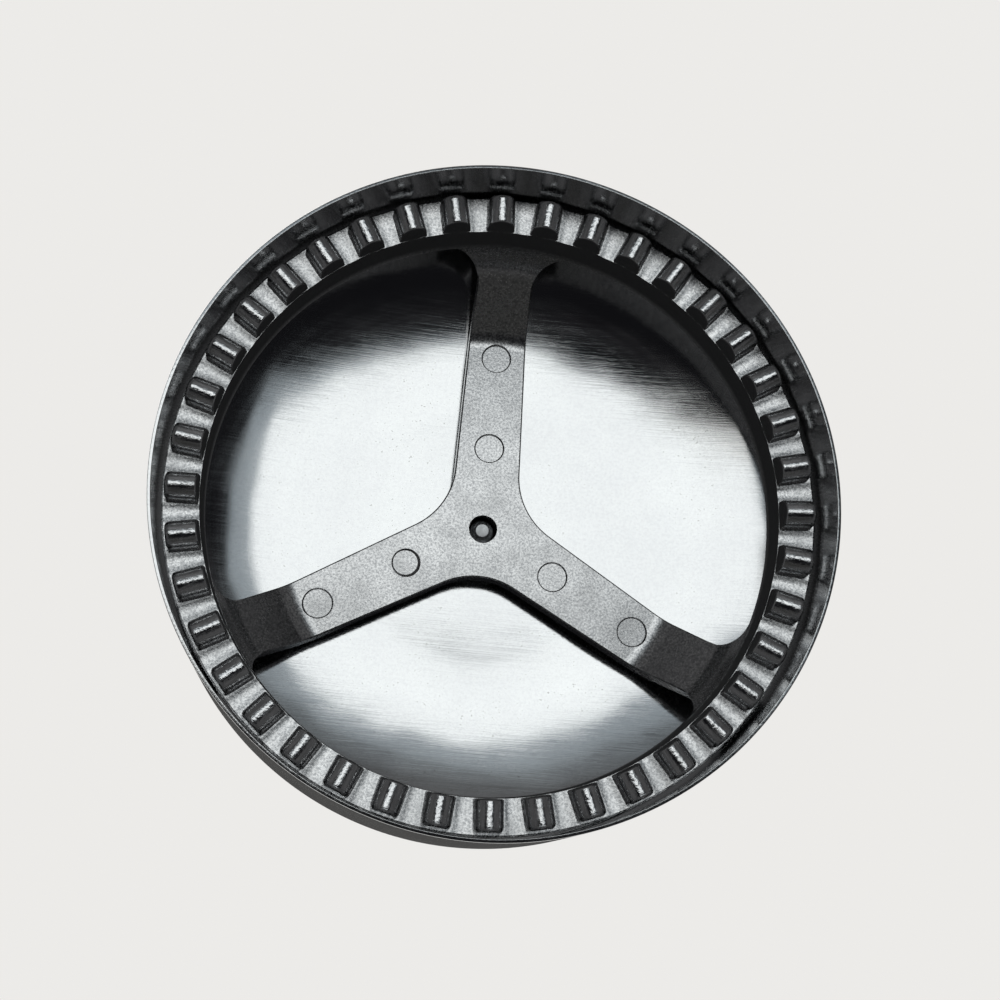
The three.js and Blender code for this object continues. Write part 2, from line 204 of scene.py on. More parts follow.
def make_object(name, verts, faces):
    """A smooth mesh object from points in millimetres."""
    mesh = bpy.data.meshes.new(name)
    mesh.from_pydata([tuple(c * MM for c in v) for v in verts], [], faces)
    mesh.validate()
    mesh.polygons.foreach_set("use_smooth", [True] * len(mesh.polygons))
    mesh.update()
    obj = bpy.data.objects.new(name, mesh)
    bpy.context.scene.collection.objects.link(obj)
    return obj


def rounded(outline, steps):
    """A closed outline of (radius, height, rounding) corners with an arc at each rounded corner."""
    longest = 0.48  # the share of a side that one arc may take
    points = []
    for i, (x, y, rounding) in enumerate(outline):
        here = np.array([x, y])
        back = np.array(outline[i - 1][:2]) - here
        ahead = np.array(outline[(i + 1) % len(outline)][:2]) - here
        reach_back, reach_ahead = np.linalg.norm(back), np.linalg.norm(ahead)
        if rounding <= 0 or not reach_back or not reach_ahead:
            points.append((x, y))
            continue
        back, ahead = back / reach_back, ahead / reach_ahead
        half = math.acos(max(-1.0, min(1.0, float(back @ ahead)))) / 2
        tangent = min(rounding / math.tan(half), longest * reach_back, longest * reach_ahead)
        radius = tangent * math.tan(half)
        middle = (back + ahead) / np.linalg.norm(back + ahead)
        centre = here + middle * radius / math.sin(half)
        first = here + back * tangent - centre
        last = here + ahead * tangent - centre
        turn = math.atan2(first[0] * last[1] - first[1] * last[0], float(first @ last))
        for step in range(steps + 1):
            c, s = math.cos(turn * step / steps), math.sin(turn * step / steps)
            points.append((centre[0] + c * first[0] - s * first[1],
                           centre[1] + s * first[0] + c * first[1]))
    return points


def revolve(points, sides):
    """Turns a closed outline of (radius, height) points about Z. Returns points and faces."""
    verts, faces, rows = [], [], []
    for radius, height in points:
        if radius < ON_AXIS:
            rows.append([len(verts)] * sides)
            verts.append((0.0, 0.0, height))
            continue
        rows.append(list(range(len(verts), len(verts) + sides)))
        for i in range(sides):
            angle = FIRST_SPOKE + math.tau * i / sides
            verts.append((radius * math.cos(angle), radius * math.sin(angle), height))
    for row, below in enumerate(rows):
        above = rows[(row + 1) % len(rows)]
        for i in range(sides):
            j = (i + 1) % sides
            corners = list(dict.fromkeys([below[i], below[j], above[j], above[i]]))
            if len(corners) > 2:
                faces.append(corners)
    return verts, faces


def turned(name, outline, sides=TURNED_SIDES, steps=CORNER_STEPS):
    """A lathe piece from an outline of (radius, height, rounding), counter-clockwise."""
    obj = make_object(name, *revolve(rounded(outline, steps), sides))
    obj.modifiers.new("even_faces", "WEIGHTED_NORMAL").weight = FACE_WEIGHT
    return obj


def grid_faces(rows, columns):
    """Faces of a grid of points, closed across its columns."""
    faces = []
    for row in range(rows - 1):
        for i in range(columns):
            a, b = row * columns + i, row * columns + (i + 1) % columns
            faces.append((a, b, b + columns, a + columns))
    return faces


def skinned(sections):
    """Skins a row of equal closed sections and caps both ends."""
    columns = len(sections[0])
    faces = grid_faces(len(sections), columns)
    last = (len(sections) - 1) * columns
    faces.append(tuple(range(columns - 1, -1, -1)))
    faces.append(tuple(range(last, last + columns)))
    return [tuple(p) for section in sections for p in section], faces


def gather(parts):
    """Joins (points, faces) lists into one."""
    verts, faces = [], []
    for some_verts, some_faces in parts:
        first = len(verts)
        verts.extend(some_verts)
        faces.extend(tuple(first + i for i in face) for face in some_faces)
    return verts, faces


def arc(centre, radius, start, end, steps):
    """Points of an arc in a plane, from one angle to another."""
    angles = np.linspace(start, end, steps + 1)
    return [(centre[0] + radius * math.cos(a), centre[1] + radius * math.sin(a)) for a in angles]


def ring_at(radius, height, sides):
    """A level ring of points about Z."""
    turns = [math.tau * i / sides for i in range(sides)]
    return [(radius * math.cos(t), radius * math.sin(t), height) for t in turns]


# Crimping spider

def inner_wall(height):
    """The radius of the ring's inner wall, which has a little draft."""
    return RING_INNER - RING_DRAFT * (height - VALLEY_INNER) / (RING_TOP - VALLEY_INNER)


def ring_part():
    """The plain ring, the floors of its valleys a little hollow across their width."""
    outline = [(inner_wall(RING_TOP), RING_TOP)]
    for share in np.linspace(0, 1, VALLEY_ROWS):
        outline.append((RING_INNER + (RING_OUTER - RING_CHAMFER - RING_INNER) * share,
                        VALLEY_INNER + (VALLEY_OUTER - VALLEY_INNER) * share))
    outline += [(RING_OUTER, VALLEY_OUTER + RING_CHAMFER), (RING_OUTER, RING_TOP)]
    verts, faces = revolve(outline, RIDGE_COUNT * VALLEY_SIDES)
    hollow = []
    for x, y, z in verts:
        radius = math.hypot(x, y)
        turn = math.atan2(y, x) - FIRST_SPOKE - VALLEY_ANGLE
        across = ((turn + RIDGE_PITCH / 2) % RIDGE_PITCH - RIDGE_PITCH / 2) * radius
        half = (radius * RIDGE_PITCH - RIDGE_BASE) / 2
        depth = VALLEY_HOLLOW * max(0.0, 1 - (across / half) ** 2)
        hollow.append((x, y, z + depth if z < VALLEY_INNER + VALLEY_MARGIN else z))
    return hollow, faces


def ridge_part(angle):
    """One round-crested ridge, its outer end and the edge of its inner end rounded off."""
    root = VALLEY_INNER + RIDGE_ROOT
    end = RING_OUTER - RIDGE_SETBACK
    crest_radius = RIDGE_CREST / 2
    stations = []  # distance from the axis or none, inset, and distance from the inner wall
    for turn in np.linspace(0, math.pi / 2, RIDGE_INNER_ROWS):
        inset, ahead = 1 - math.sin(turn), 1 - math.cos(turn)
        stations.append((None, RIDGE_INNER_ROUND * inset, RIDGE_INNER_ROUND * ahead))
    for turn in np.radians(np.linspace(0, RIDGE_END_TURN, RIDGE_END_ROWS)):
        away = end - RIDGE_END_ROUND * (1 - math.sin(turn))
        stations.append((away, RIDGE_END_ROUND * (1 - math.cos(turn)), 0.0))
    c, s = math.cos(angle), math.sin(angle)
    sections = []
    for away, inset, ahead in stations:
        share = (end - (away or RING_INNER + ahead)) / (end - RING_INNER)
        middle = CREST_HEIGHT + CREST_LEAN * share + crest_radius
        crest = arc((0.0, middle), crest_radius - inset, math.pi, math.tau, CREST_STEPS)
        foot = RIDGE_BASE / 2 - inset
        section = []
        for across, z in [(-foot, root), *crest, (foot, root)]:
            along = away
            if along is None:
                wall = inner_wall(min(z, VALLEY_INNER)) + RIDGE_INSIDE
                along = math.sqrt(wall ** 2 - across ** 2) + ahead
            section.append((along * c - across * s, along * s + across * c, z))
        sections.append(section)
    return skinned(sections)


def half_width(radius):
    """Half of a spoke's width, which tapers from the hub to the ring."""
    taper = (SPOKE_HUB_HALF - SPOKE_RING_HALF) / (SPOKE_RING_RADIUS - SPOKE_HUB_RADIUS)
    return SPOKE_HUB_HALF - (radius - SPOKE_HUB_RADIUS) * taper


def leg_half(height):
    """Half of a leg's width at a height, so that it meets the ring in a round fillet seen along Z."""
    foot = RING_TOP + LEG_HEIGHT
    rise = min(max(height - foot, 0.0), UPPER_BEND)
    inward = min(UPPER_BEND - math.sqrt(UPPER_BEND ** 2 - rise ** 2), LEG_FILLET)
    fillet = LEG_FILLET - math.sqrt(LEG_FILLET ** 2 - (LEG_FILLET - inward) ** 2)
    return SPOKE_RING_HALF + fillet + max(foot - height, 0.0)


def bent_face(offset):
    """The spokes' face from the end of the flat down to the ring, moved towards the roof."""
    lower = (RAMP_START, HUB_HEIGHT - LOWER_BEND)
    upper = (inner_wall(RING_TOP) - UPPER_BEND, RING_TOP + LEG_HEIGHT)
    run, drop = upper[0] - lower[0], lower[1] - upper[1]
    slope = math.atan2(drop, run) + math.asin((LOWER_BEND - UPPER_BEND) / math.hypot(run, drop))
    right = math.pi / 2
    ramp_start = arc(lower, LOWER_BEND + offset, right, right - slope, LOWER_BEND_STEPS)
    ramp_end = arc(upper, UPPER_BEND + offset, right - slope, 0, UPPER_BEND_STEPS)
    ramp = [tuple(p) for p in np.linspace(ramp_start[-1], ramp_end[0], RAMP_ROWS)[1:-1]]
    return [
        (RAMP_START - SPOKE_LAP, HUB_HEIGHT + offset), *ramp_start, *ramp, *ramp_end,
        (inner_wall(RING_TOP - LEG_LAP) + offset, RING_TOP - LEG_LAP),
    ]


def spoke_part(along):
    """A bent spoke with chamfered edges, whose leg spreads into the ring."""
    across = np.linspace(-1, 1, SPOKE_COLUMNS)
    sections = []
    for face, back in zip(bent_face(0), bent_face(CAST_WALL)):
        edge = tuple(np.array(face) + (np.array(back) - np.array(face)) * SPOKE_CHAMFER / CAST_WALL)
        rows = ((face, across, SPOKE_CHAMFER), (edge, (1,), 0), (back, -across, 0), (edge, (-1,), 0))
        section = []
        for (radius, height), shares, inset in rows:
            half = half_width(math.sqrt(radius ** 2 - half_width(radius) ** 2))
            half = max(half, leg_half(height)) - inset
            for share in shares:
                angle = along + math.asin(share * half / radius)
                section.append((radius * math.cos(angle), radius * math.sin(angle), height))
        sections.append(section)
    return skinned(sections)


def hub_plan(inset):
    """The outline of the hub and the inner spokes, moved inwards."""
    taper = math.atan((SPOKE_HUB_HALF - SPOKE_RING_HALF) / (SPOKE_RING_RADIUS - SPOKE_HUB_RADIUS))
    reach = (half_width(0) * math.cos(taper) + HUB_FILLET) / math.sin(SPOKE_PITCH / 2 + taper)
    end = RAMP_START - HUB_STOP
    plan = []
    for i in range(SPOKE_COUNT):
        along = FIRST_SPOKE + i * SPOKE_PITCH
        c, s = math.cos(along), math.sin(along)
        for side in (-1, 1):
            y = side * (half_width(end) - inset / math.cos(taper))
            plan.append((end * c - y * s, end * s + y * c))
        between = along + SPOKE_PITCH / 2
        centre = (reach * math.cos(between), reach * math.sin(between))
        start = along - math.pi / 2 - taper
        stop = start - (math.pi - SPOKE_PITCH - 2 * taper)
        plan.extend(arc(centre, HUB_FILLET + inset, start, stop, HUB_FILLET_STEPS))
    return plan


def hub_part():
    """The flat plate of the hub and the inner spokes, with chamfered edges and the tapped hole."""
    plan, face = hub_plan(0), hub_plan(SPOKE_CHAMFER)
    angles = [math.atan2(y, x) for x, y in plan]
    hole = [(TAPPED_RADIUS * math.cos(a), TAPPED_RADIUS * math.sin(a)) for a in angles]
    levels = ((face, HUB_HEIGHT), (plan, HUB_HEIGHT + SPOKE_CHAMFER), (plan, HUB_TOP), (hole, HUB_TOP),
              (hole, HUB_HEIGHT))
    verts = [(x, y, z) for ring, z in levels for x, y in ring]
    faces = grid_faces(len(levels), len(plan))
    last = (len(levels) - 1) * len(plan)
    for i in range(len(plan)):
        j = (i + 1) % len(plan)
        faces.append((last + i, last + j, j, i))
    return verts, faces


def pin_mark_part(along, radius, shift):
    """What an ejector pin presses out of a spoke's face: a flat cone, its end shifted."""
    x, y = radius * math.cos(along), radius * math.sin(along)
    narrow = math.hypot(*shift)
    sections = []
    for share in (-1, 1):
        moved = max(share, 0)
        reach = PIN_MARK_RADIUS - share * PIN_MARK_EDGE / 2 - moved * narrow
        centre = (x + moved * shift[0], y + moved * shift[1])
        ring = arc(centre, reach, 0, math.tau, PIN_MARK_SIDES)[:-1]
        sections.append([(*point, HUB_HEIGHT + share * PIN_MARK_DEPTH) for point in ring])
    return skinned(sections)


def pin_marks():
    """Two marks on each spoke."""
    parts = []
    for spoke in range(SPOKE_COUNT):
        for radius in PIN_MARK_RADII:
            shift = UNEVEN_SHIFT if (spoke, radius) == UNEVEN_MARK else (0.0, 0.0)
            parts.append(pin_mark_part(FIRST_SPOKE + spoke * math.tau / SPOKE_COUNT, radius, shift))
    return parts


def bake(obj):
    """Gives the object the mesh that its modifiers make, and takes them off."""
    plain = obj.data
    bpy.context.view_layer.update()
    evaluated = obj.evaluated_get(bpy.context.evaluated_depsgraph_get())
    obj.data = bpy.data.meshes.new_from_object(evaluated)
    obj.modifiers.clear()
    bpy.data.meshes.remove(plain)


def spider_mesh(name):
    """The ring, the ridges, the spokes and the hub joined into one casting, less the pin marks."""
    first_valley = FIRST_SPOKE + VALLEY_ANGLE
    ridges = [ridge_part(first_valley + (i + 0.5) * RIDGE_PITCH) for i in range(RIDGE_COUNT)]
    spokes = [spoke_part(FIRST_SPOKE + i * math.tau / SPOKE_COUNT) for i in range(SPOKE_COUNT)]
    obj = make_object(name, *ring_part())
    steps = ((ridges, "UNION"), (spokes, "UNION"), ([hub_part()], "UNION"), (pin_marks(), "DIFFERENCE"))
    for parts, operation in steps:
        other = make_object("operand", *gather(parts))
        join = obj.modifiers.new("join", "BOOLEAN")
        join.operation = operation
        join.solver = "MANIFOLD"
        join.object = other
        bake(obj)
        mesh = other.data
        bpy.data.objects.remove(other)
        bpy.data.meshes.remove(mesh)
    obj.data.polygons.foreach_set("use_smooth", [True] * len(obj.data.polygons))
    obj.data.set_sharp_from_angle(angle=SHARP_EDGE)
    even = obj.modifiers.new("even_faces", "WEIGHTED_NORMAL")
    even.weight = FACE_WEIGHT
    even.keep_sharp = True
    return obj


# Spring, stud, knob and shell

def spring_path():
    """The middle line of the wire: an upright foot, an elbow, the coil, an elbow and an upright foot."""
    low, high = FLANGE_TOP + SEAT_GAP, CUP_BOTTOM - SEAT_GAP
    foot, elbow = 2 * WIRE_RADIUS, 1.5 * WIRE_RADIUS
    elbow_turn = elbow / SPRING_RADIUS
    wind = math.tau * SPRING_TURNS
    lower = [(0.0, low), (0.0, low + foot / 2)]
    for a in np.linspace(0, math.pi / 2, ELBOW_ROWS)[:-1]:
        lower.append((elbow_turn * (1 - math.cos(a)), low + foot + elbow * math.sin(a)))
    coil_low, coil_high = low + foot + elbow, high - foot - elbow
    coil = []
    for share in np.linspace(0, 1, SPRING_TURNS * TURN_STEPS + 1):
        coil.append((elbow_turn + wind * share, coil_low + (coil_high - coil_low) * share))
    end = wind + 2 * elbow_turn
    upper = [(end - turn, low + high - height) for turn, height in reversed(lower)]
    points = lower + coil + upper
    return [Vector((SPRING_RADIUS * math.cos(a), SPRING_RADIUS * math.sin(a), z)) for a, z in points]


def tube_part(path, radius, chamfer):
    """A round wire along a path, its sections carried along without twisting and its ends chamfered."""
    turns = [math.tau * j / WIRE_SIDES for j in range(WIRE_SIDES)]
    last = len(path) - 1
    rounds = {  # distance along the wire from a point of the path, and radius, of each section there
        0: ((0.0, radius - chamfer), (chamfer, radius)),
        last: ((-chamfer, radius), (0.0, radius - chamfer)),
    }
    side = Vector((1, 0, 0))
    sections = []
    for i, point in enumerate(path):
        ahead = (path[min(i + 1, last)] - path[max(i - 1, 0)]).normalized()
        side = (side - ahead * side.dot(ahead)).normalized()
        up = ahead.cross(side)
        for shift, reach in rounds.get(i, ((0.0, radius),)):
            centre = point + ahead * shift
            sections.append([centre + (side * math.cos(t) + up * math.sin(t)) * reach for t in turns])
    return skinned(sections)


def threaded_part(radius, low, high, chamfer):
    """A rod with a screw thread cut in it, a chamfer at each end and a slightly domed tip."""
    tip = radius - chamfer
    sections = []
    for share in STUD_DOME_SHARES:
        sections.append(ring_at(tip * share, low - STUD_DOME * (1 - share ** 2), THREAD_SIDES))
    rows = round((high - low) / THREAD_PITCH * THREAD_ROWS)
    for row in range(rows + 1):
        z = low + (high - low) * row / rows
        limit = tip + min(z - low, high - z, chamfer)
        section = []
        for i in range(THREAD_SIDES):
            turn = i / THREAD_SIDES
            wave = abs(((z / THREAD_PITCH - turn) % 1.0) * 2 - 1)
            cut = THREAD_DEPTH * min(1.0, max(0.0, wave * THREAD_SLOPE - (THREAD_SLOPE - 1) / 2))
            r = min(radius - cut, limit)
            section.append((r * math.cos(math.tau * turn), r * math.sin(math.tau * turn), z))
        sections.append(section)
    return skinned(sections)


def bezier(points, steps):
    """Points of a Bezier curve of any degree, without its first and with no rounding."""
    out = []
    for t in np.linspace(0, 1, steps + 1)[1:]:
        level = [np.array(p, float) for p in points]
        while len(level) > 1:
            level = [a * (1 - t) + b * t for a, b in zip(level, level[1:])]
        out.append((*level[0], 0.0))
    return out


def knob_outline():
    """The knob: a foot, a waist, a flare to the widest place, a dome, and the insert's hole."""
    flare = (KNOB_RADIUS_HEIGHT - KNOB_WAIST_HEIGHT) / 2
    dome = (KNOB_HEIGHT - KNOB_RADIUS_HEIGHT) / 2
    hole = INSERT_RADIUS + SEAT_GAP
    hole_top = INSERT_LENGTH + 2 * SEAT_GAP
    waist_steps, flare_steps, dome_steps = KNOB_STEPS
    waist = (KNOB_WAIST, KNOB_WAIST_HEIGHT)
    widest = (KNOB_RADIUS, KNOB_RADIUS_HEIGHT)
    outline = [(hole, 0.0, 0.3), (KNOB_FOOT, 0.0, 0.5), (KNOB_FOOT, KNOB_FOOT_HEIGHT, 0.45)]
    outline += bezier([(KNOB_FOOT, KNOB_FOOT_HEIGHT), (KNOB_WAIST, KNOB_FOOT_HEIGHT), waist], waist_steps)
    above, below = (KNOB_WAIST, KNOB_WAIST_HEIGHT + flare), (KNOB_RADIUS, KNOB_RADIUS_HEIGHT - flare)
    outline += bezier([waist, above, below, widest], flare_steps)
    above = (KNOB_RADIUS, KNOB_RADIUS_HEIGHT + dome)
    outline += bezier([widest, above, (KNOB_CROWN, KNOB_HEIGHT), (0.0, KNOB_HEIGHT)], dome_steps)
    outline += [(0.0, hole_top, 0.0), (hole, hole_top, 0.0)]
    return [(x, z + KNOB_BOTTOM, rounding) for x, z, rounding in outline]


def shell_outline():
    """The drawn cup: a cut edge, a straight wall, a tight corner and a domed roof."""
    inner = RIM_RADIUS - SHELL_WALL
    bend = RIM_RADIUS - SHELL_CORNER
    dome = (ROOF_FLAT, ROOF_HEIGHT - ROOF_DOME)
    rise = math.sqrt((ROOF_DOME + SHELL_WALL - SHELL_CORNER) ** 2 - (bend - ROOF_FLAT) ** 2)
    corner = (bend, dome[1] + rise)
    turn = math.atan2(rise, bend - ROOF_FLAT)
    outside = arc(corner, SHELL_CORNER, 0, turn, SHELL_CORNER_STEPS)
    outside += arc(dome, ROOF_DOME + SHELL_WALL, turn, math.pi / 2, DOME_STEPS)[1:]
    inside = arc(dome, ROOF_DOME, math.pi / 2, turn, DOME_STEPS)
    inside += arc(corner, SHELL_CORNER - SHELL_WALL, turn, 0, SHELL_CORNER_STEPS)[1:]
    return [
        (inner, 0.0, EDGE_ROUND), (RIM_RADIUS, 0.0, EDGE_ROUND),
        *[(*point, 0.0) for point in outside],
        (ROOF_HOLE, ROOF_TOP, EDGE_ROUND), (ROOF_HOLE, ROOF_HEIGHT, EDGE_ROUND),
        *[(*point, 0.0) for point in inside],
    ]


def washer_outline(bore, radius, low, high, rounding):
    corners = ((bore, low), (radius, low), (radius, high), (bore, high))
    return [(*corner, rounding) for corner in corners]


# Materials

# Heights in metres over which one finish gives way to the next
EDGE_LEVELS = (0.0002, 0.0005)
RIDGE_LEVELS = (0.0078, 0.0083)
RING_LEVELS = (0.0125, 0.0145)
ROOF_LEVELS = (0.022, 0.0245)

# Colours, the first of a pair in the low places of the noise
CHROME = ((0.73, 0.735, 0.745), (0.83, 0.84, 0.84))
CHROME_DIRT = (0.4, 0.4, 0.39)
CAST_SPECKLES = ((0.42, 0.425, 0.435), (1.0, 1.0, 1.0))
CAST_STREAKS = ((0.66, 0.665, 0.675), (0.96, 0.965, 0.97))
CAST_STAIN = (0.5, 0.505, 0.51)
# painted shade: a dark grey for the ring's inner walls, where shade falls
RING_WALL_PAINTED_SHADE = (0.22, 0.22, 0.225)
STEEL = ((0.6, 0.61, 0.62), (0.5, 0.51, 0.52))
BRASS = ((0.72, 0.6, 0.33), (0.62, 0.49, 0.25))
PLASTIC = ((0.016, 0.016, 0.018), (0.026, 0.026, 0.028))

STREAK_LENGTH = 12.0  # of a streak on the ridges, as a multiple of its width
STREAK_RADIUS = 0.0415  # in metres, where a streak has its true width


def new_material(name):
    material = bpy.data.materials.new(name)
    material.use_nodes = True
    return material, material.node_tree, material.node_tree.nodes["Principled BSDF"]


def node(tree, kind, inputs=None, **settings):
    """Adds a node. Inputs are numbers, colours, or sockets to link."""
    made = tree.nodes.new(kind)
    for key, value in settings.items():
        setattr(made, key, value)
    for key, value in (inputs or {}).items():
        if isinstance(value, bpy.types.NodeSocket):
            tree.links.new(value, made.inputs[key])
        else:
            made.inputs[key].default_value = value
    return made


def feed(tree, shader, sockets):
    """Links values to the sockets of a shader by name."""
    for name, value in sockets.items():
        tree.links.new(value, shader.inputs[name])


def own(tree, output="Object"):
    """Coordinates: a piece's own in metres, its normal, or the direction in the world."""
    return node(tree, "ShaderNodeTexCoord").outputs[output]


def noise(tree, scale, detail=3.0, roughness=0.5, along=None):
    """Noise with grains 1 / scale metres wide, in the piece's own coordinates or along others."""
    scale = scale if isinstance(scale, tuple) else (scale, scale, scale)
    along = own(tree) if along is None else along
    scaled = node(tree, "ShaderNodeMapping", {"Vector": along, "Scale": scale})
    made = node(tree, "ShaderNodeTexNoise", {
        "Vector": scaled.outputs["Vector"], "Scale": 1.0, "Detail": detail, "Roughness": roughness,
    })
    return made.outputs["Fac"]


def spread(tree, value, low, high, to_low, to_high):
    """Maps a value to another range, held at both ends."""
    made = node(tree, "ShaderNodeMapRange", {
        "Value": value, "From Min": low, "From Max": high, "To Min": to_low, "To Max": to_high,
    })
    return made.outputs["Result"]


def number_math(tree, operation, a, b):
    return node(tree, "ShaderNodeMath", {0: a, 1: b}, operation=operation).outputs[0]


def vector_math(tree, operation, a, b=(0, 0, 0), output="Vector"):
    return node(tree, "ShaderNodeVectorMath", {0: a, 1: b}, operation=operation).outputs[output]


def total(tree, first, *others):
    for other in others:
        first = number_math(tree, "ADD", first, other)
    return first


def product(tree, a, b):
    return number_math(tree, "MULTIPLY", a, b)


def tint(tree, fac, first, second):
    """Mixes two colours, each of them written out or a socket."""
    made = node(tree, "ShaderNodeMix", {"Factor": fac}, data_type="RGBA")
    colours = [socket for socket in made.inputs if socket.type == "RGBA"]
    for socket, colour in zip(colours, (first, second)):
        if isinstance(colour, bpy.types.NodeSocket):
            tree.links.new(colour, socket)
        else:
            socket.default_value = (*colour, 1)
    return next(socket for socket in made.outputs if socket.type == "RGBA")


def bump(tree, height, distance, under=None):
    """A bump of a height in metres, over another one if there is one."""
    inputs = {"Height": height, "Distance": distance, "Strength": 1.0}
    if under is not None:
        inputs["Normal"] = under
    return node(tree, "ShaderNodeBump", inputs).outputs["Normal"]


def height_of(tree):
    """The height in the piece's own coordinates, in metres."""
    return node(tree, "ShaderNodeSeparateXYZ", {0: own(tree)}).outputs["Z"]


def flat_place(tree):
    """The piece's own coordinates without the height."""
    return vector_math(tree, "MULTIPLY", own(tree), (1, 1, 0))


def way_out(tree):
    """The distance from the axis in metres."""
    return vector_math(tree, "LENGTH", flat_place(tree), output="Value")


def around(tree, radius, stretch):
    """Coordinates in metres round the axis, out from it and along it, drawn out along the way out."""
    turn = node(tree, "ShaderNodeTexGradient", {"Vector": own(tree)}, gradient_type="RADIAL").outputs["Fac"]
    return node(tree, "ShaderNodeCombineXYZ", {
        "X": spread(tree, turn, 0, 1, 0, math.tau * radius),
        "Y": spread(tree, way_out(tree), 0, 1, 0, 1 / stretch),
        "Z": height_of(tree),
    }).outputs[0]


def outward(tree):
    """How far the surface faces away from the axis: 1 outwards, -1 inwards."""
    away = vector_math(tree, "NORMALIZE", flat_place(tree))
    return vector_math(tree, "DOT_PRODUCT", own(tree, "Normal"), away, "Value")


def shell_material():
    """Polished chrome: brushed lines across the roof, slight stains and dirt, and a plainer wall."""
    material, tree, shader = new_material("polished_shell")
    stains = noise(tree, 60, 4.0, 0.6)
    specks = noise(tree, 2100, 3.0, 0.7)
    scratches = noise(tree, (90, 6500, 420), 3.0, 0.7)
    rings = noise(tree, (25, 25, 4200), 3.0, 0.65)
    burrs = noise(tree, 2600, 2.0, 0.6)

    light = total(tree, stains, spread(tree, specks, 0.3, 0.7, -0.2, 0.2))
    clean = tint(tree, spread(tree, light, 0.3, 0.75, 0, 1), *CHROME)
    dirt = product(tree, spread(tree, specks, 0.63, 0.7, 0, 1), spread(tree, stains, 0.4, 0.6, 0.2, 1))

    height = height_of(tree)
    on_edge = spread(tree, height, *EDGE_LEVELS, 1, 0)
    on_roof = spread(tree, height, *ROOF_LEVELS, 0, 1)
    faces_in = spread(tree, outward(tree), -0.5, 0, 1, 0)
    wall_inside = product(tree, spread(tree, on_roof, 0, 1, 1, 0), faces_in)
    lines = product(tree, on_roof, spread(tree, scratches, 0.45, 0.75, 0, 0.05))
    ringed = product(tree, spread(tree, on_roof, 0, 1, 1, 0.3), spread(tree, rings, 0.45, 0.7, 0, 0.07))
    ragged = product(tree, on_edge, spread(tree, burrs, 0.35, 0.65, 0.0, 0.06))
    plain = spread(tree, stains, 0.3, 0.7, 0.055, 0.09)

    normal = bump(tree, noise(tree, 40, 2.0), 0.00025)
    normal = bump(tree, product(tree, on_edge, burrs), 0.00001, normal)
    shader.inputs["Metallic"].default_value = 1.0
    feed(tree, shader, {
        "Base Color": tint(tree, dirt, clean, CHROME_DIRT),
        "Roughness": total(tree, plain, lines, ringed, ragged, product(tree, wall_inside, 0.08)),
        "Normal": bump(tree, lines, 0.00002, normal),
    })
    return material


def casting_material():
    """Cast aluminium: speckled flats, smooth streaked ridges, and walls inside the ring painted dark grey,
    with no metal or gloss, as painted shade.
    """
    material, tree, shader = new_material("casting")
    grain = noise(tree, 3400, 3.0, 0.65)
    blotches = noise(tree, 200, 4.0, 0.6)
    streaks = noise(tree, 3600, 3.0, 0.6, around(tree, STREAK_RADIUS, STREAK_LENGTH))
    squiggles = noise(tree, 2400, 2.0)

    height = height_of(tree)
    on_ridge = spread(tree, height, *RIDGE_LEVELS, 1, 0)
    on_ring = spread(tree, height, *RING_LEVELS, 1, 0)
    # the ring's inner walls, which get painted shade below
    inside = product(tree, on_ring, spread(tree, outward(tree), -0.9, -0.6, 1, 0))

    speckled = tint(tree, spread(tree, grain, 0.38, 0.62, 0, 1), *CAST_SPECKLES)
    streaked = tint(tree, spread(tree, streaks, 0.35, 0.65, 0, 1), *CAST_STREAKS)
    colour = tint(tree, on_ridge, speckled, streaked)
    colour = tint(tree, spread(tree, blotches, 0.52, 0.75, 0, 0.3), colour, CAST_STAIN)

    grainy = spread(tree, grain, 0.3, 0.7, 0.2, 0.28)
    blotched = spread(tree, blotches, 0.3, 0.7, -0.03, 0.04)
    smoothed = product(tree, on_ridge, spread(tree, streaks, 0.4, 0.65, -0.15, 0.06))

    normal = bump(tree, product(tree, on_ridge, squiggles), 0.00004)
    # painted shade: the ring's inner walls turn dark grey, with no metal and no gloss
    feed(tree, shader, {
        "Base Color": tint(tree, inside, colour, RING_WALL_PAINTED_SHADE),
        "Metallic": spread(tree, inside, 0, 1, 1.0, 0.0),
        "Specular IOR Level": spread(tree, inside, 0, 1, 0.5, 0.0),
        "Roughness": total(tree, grainy, blotched, smoothed),
        "Normal": bump(tree, grain, 0.00001, normal),
    })
    return material


def turned_material(name, colours, rough):
    """Turned metal: faint rings left by the tool and dull spots."""
    material, tree, shader = new_material(name)
    rings = noise(tree, (160, 160, 7000), 2.0, 0.6)
    spots = noise(tree, 420, 4.0, 0.6)
    ringed = spread(tree, rings, 0.3, 0.7, rough - 0.06, rough + 0.06)
    shader.inputs["Metallic"].default_value = 1.0
    feed(tree, shader, {
        "Base Color": tint(tree, spread(tree, spots, 0.35, 0.7, 0, 1), *colours),
        "Roughness": total(tree, ringed, spread(tree, spots, 0.4, 0.7, 0.0, 0.1)),
        "Normal": bump(tree, rings, 0.000006),
    })
    return material


def plastic_material():
    """Glossy black plastic with a faint orange peel, fine rubbed marks and a little haze."""
    material, tree, shader = new_material("knob_plastic")
    rubs = noise(tree, (900, 260, 4200), 4.0, 0.65)
    haze = noise(tree, 90, 4.0, 0.6)
    rubbed = spread(tree, rubs, 0.5, 0.75, 0.16, 0.3)
    feed(tree, shader, {
        "Base Color": tint(tree, spread(tree, haze, 0.35, 0.7, 0, 1), *PLASTIC),
        "Roughness": total(tree, rubbed, spread(tree, haze, 0.35, 0.7, 0.0, 0.08)),
        "Normal": bump(tree, noise(tree, 520, 2.0), 0.000012),
    })
    return material


MATERIALS = {
    "polished_shell": shell_material(),
    "casting": casting_material(),
    "steel": turned_material("steel", STEEL, 0.27),
    "brass": turned_material("brass", BRASS, 0.26),
    "knob_plastic": plastic_material(),
}


# Pieces

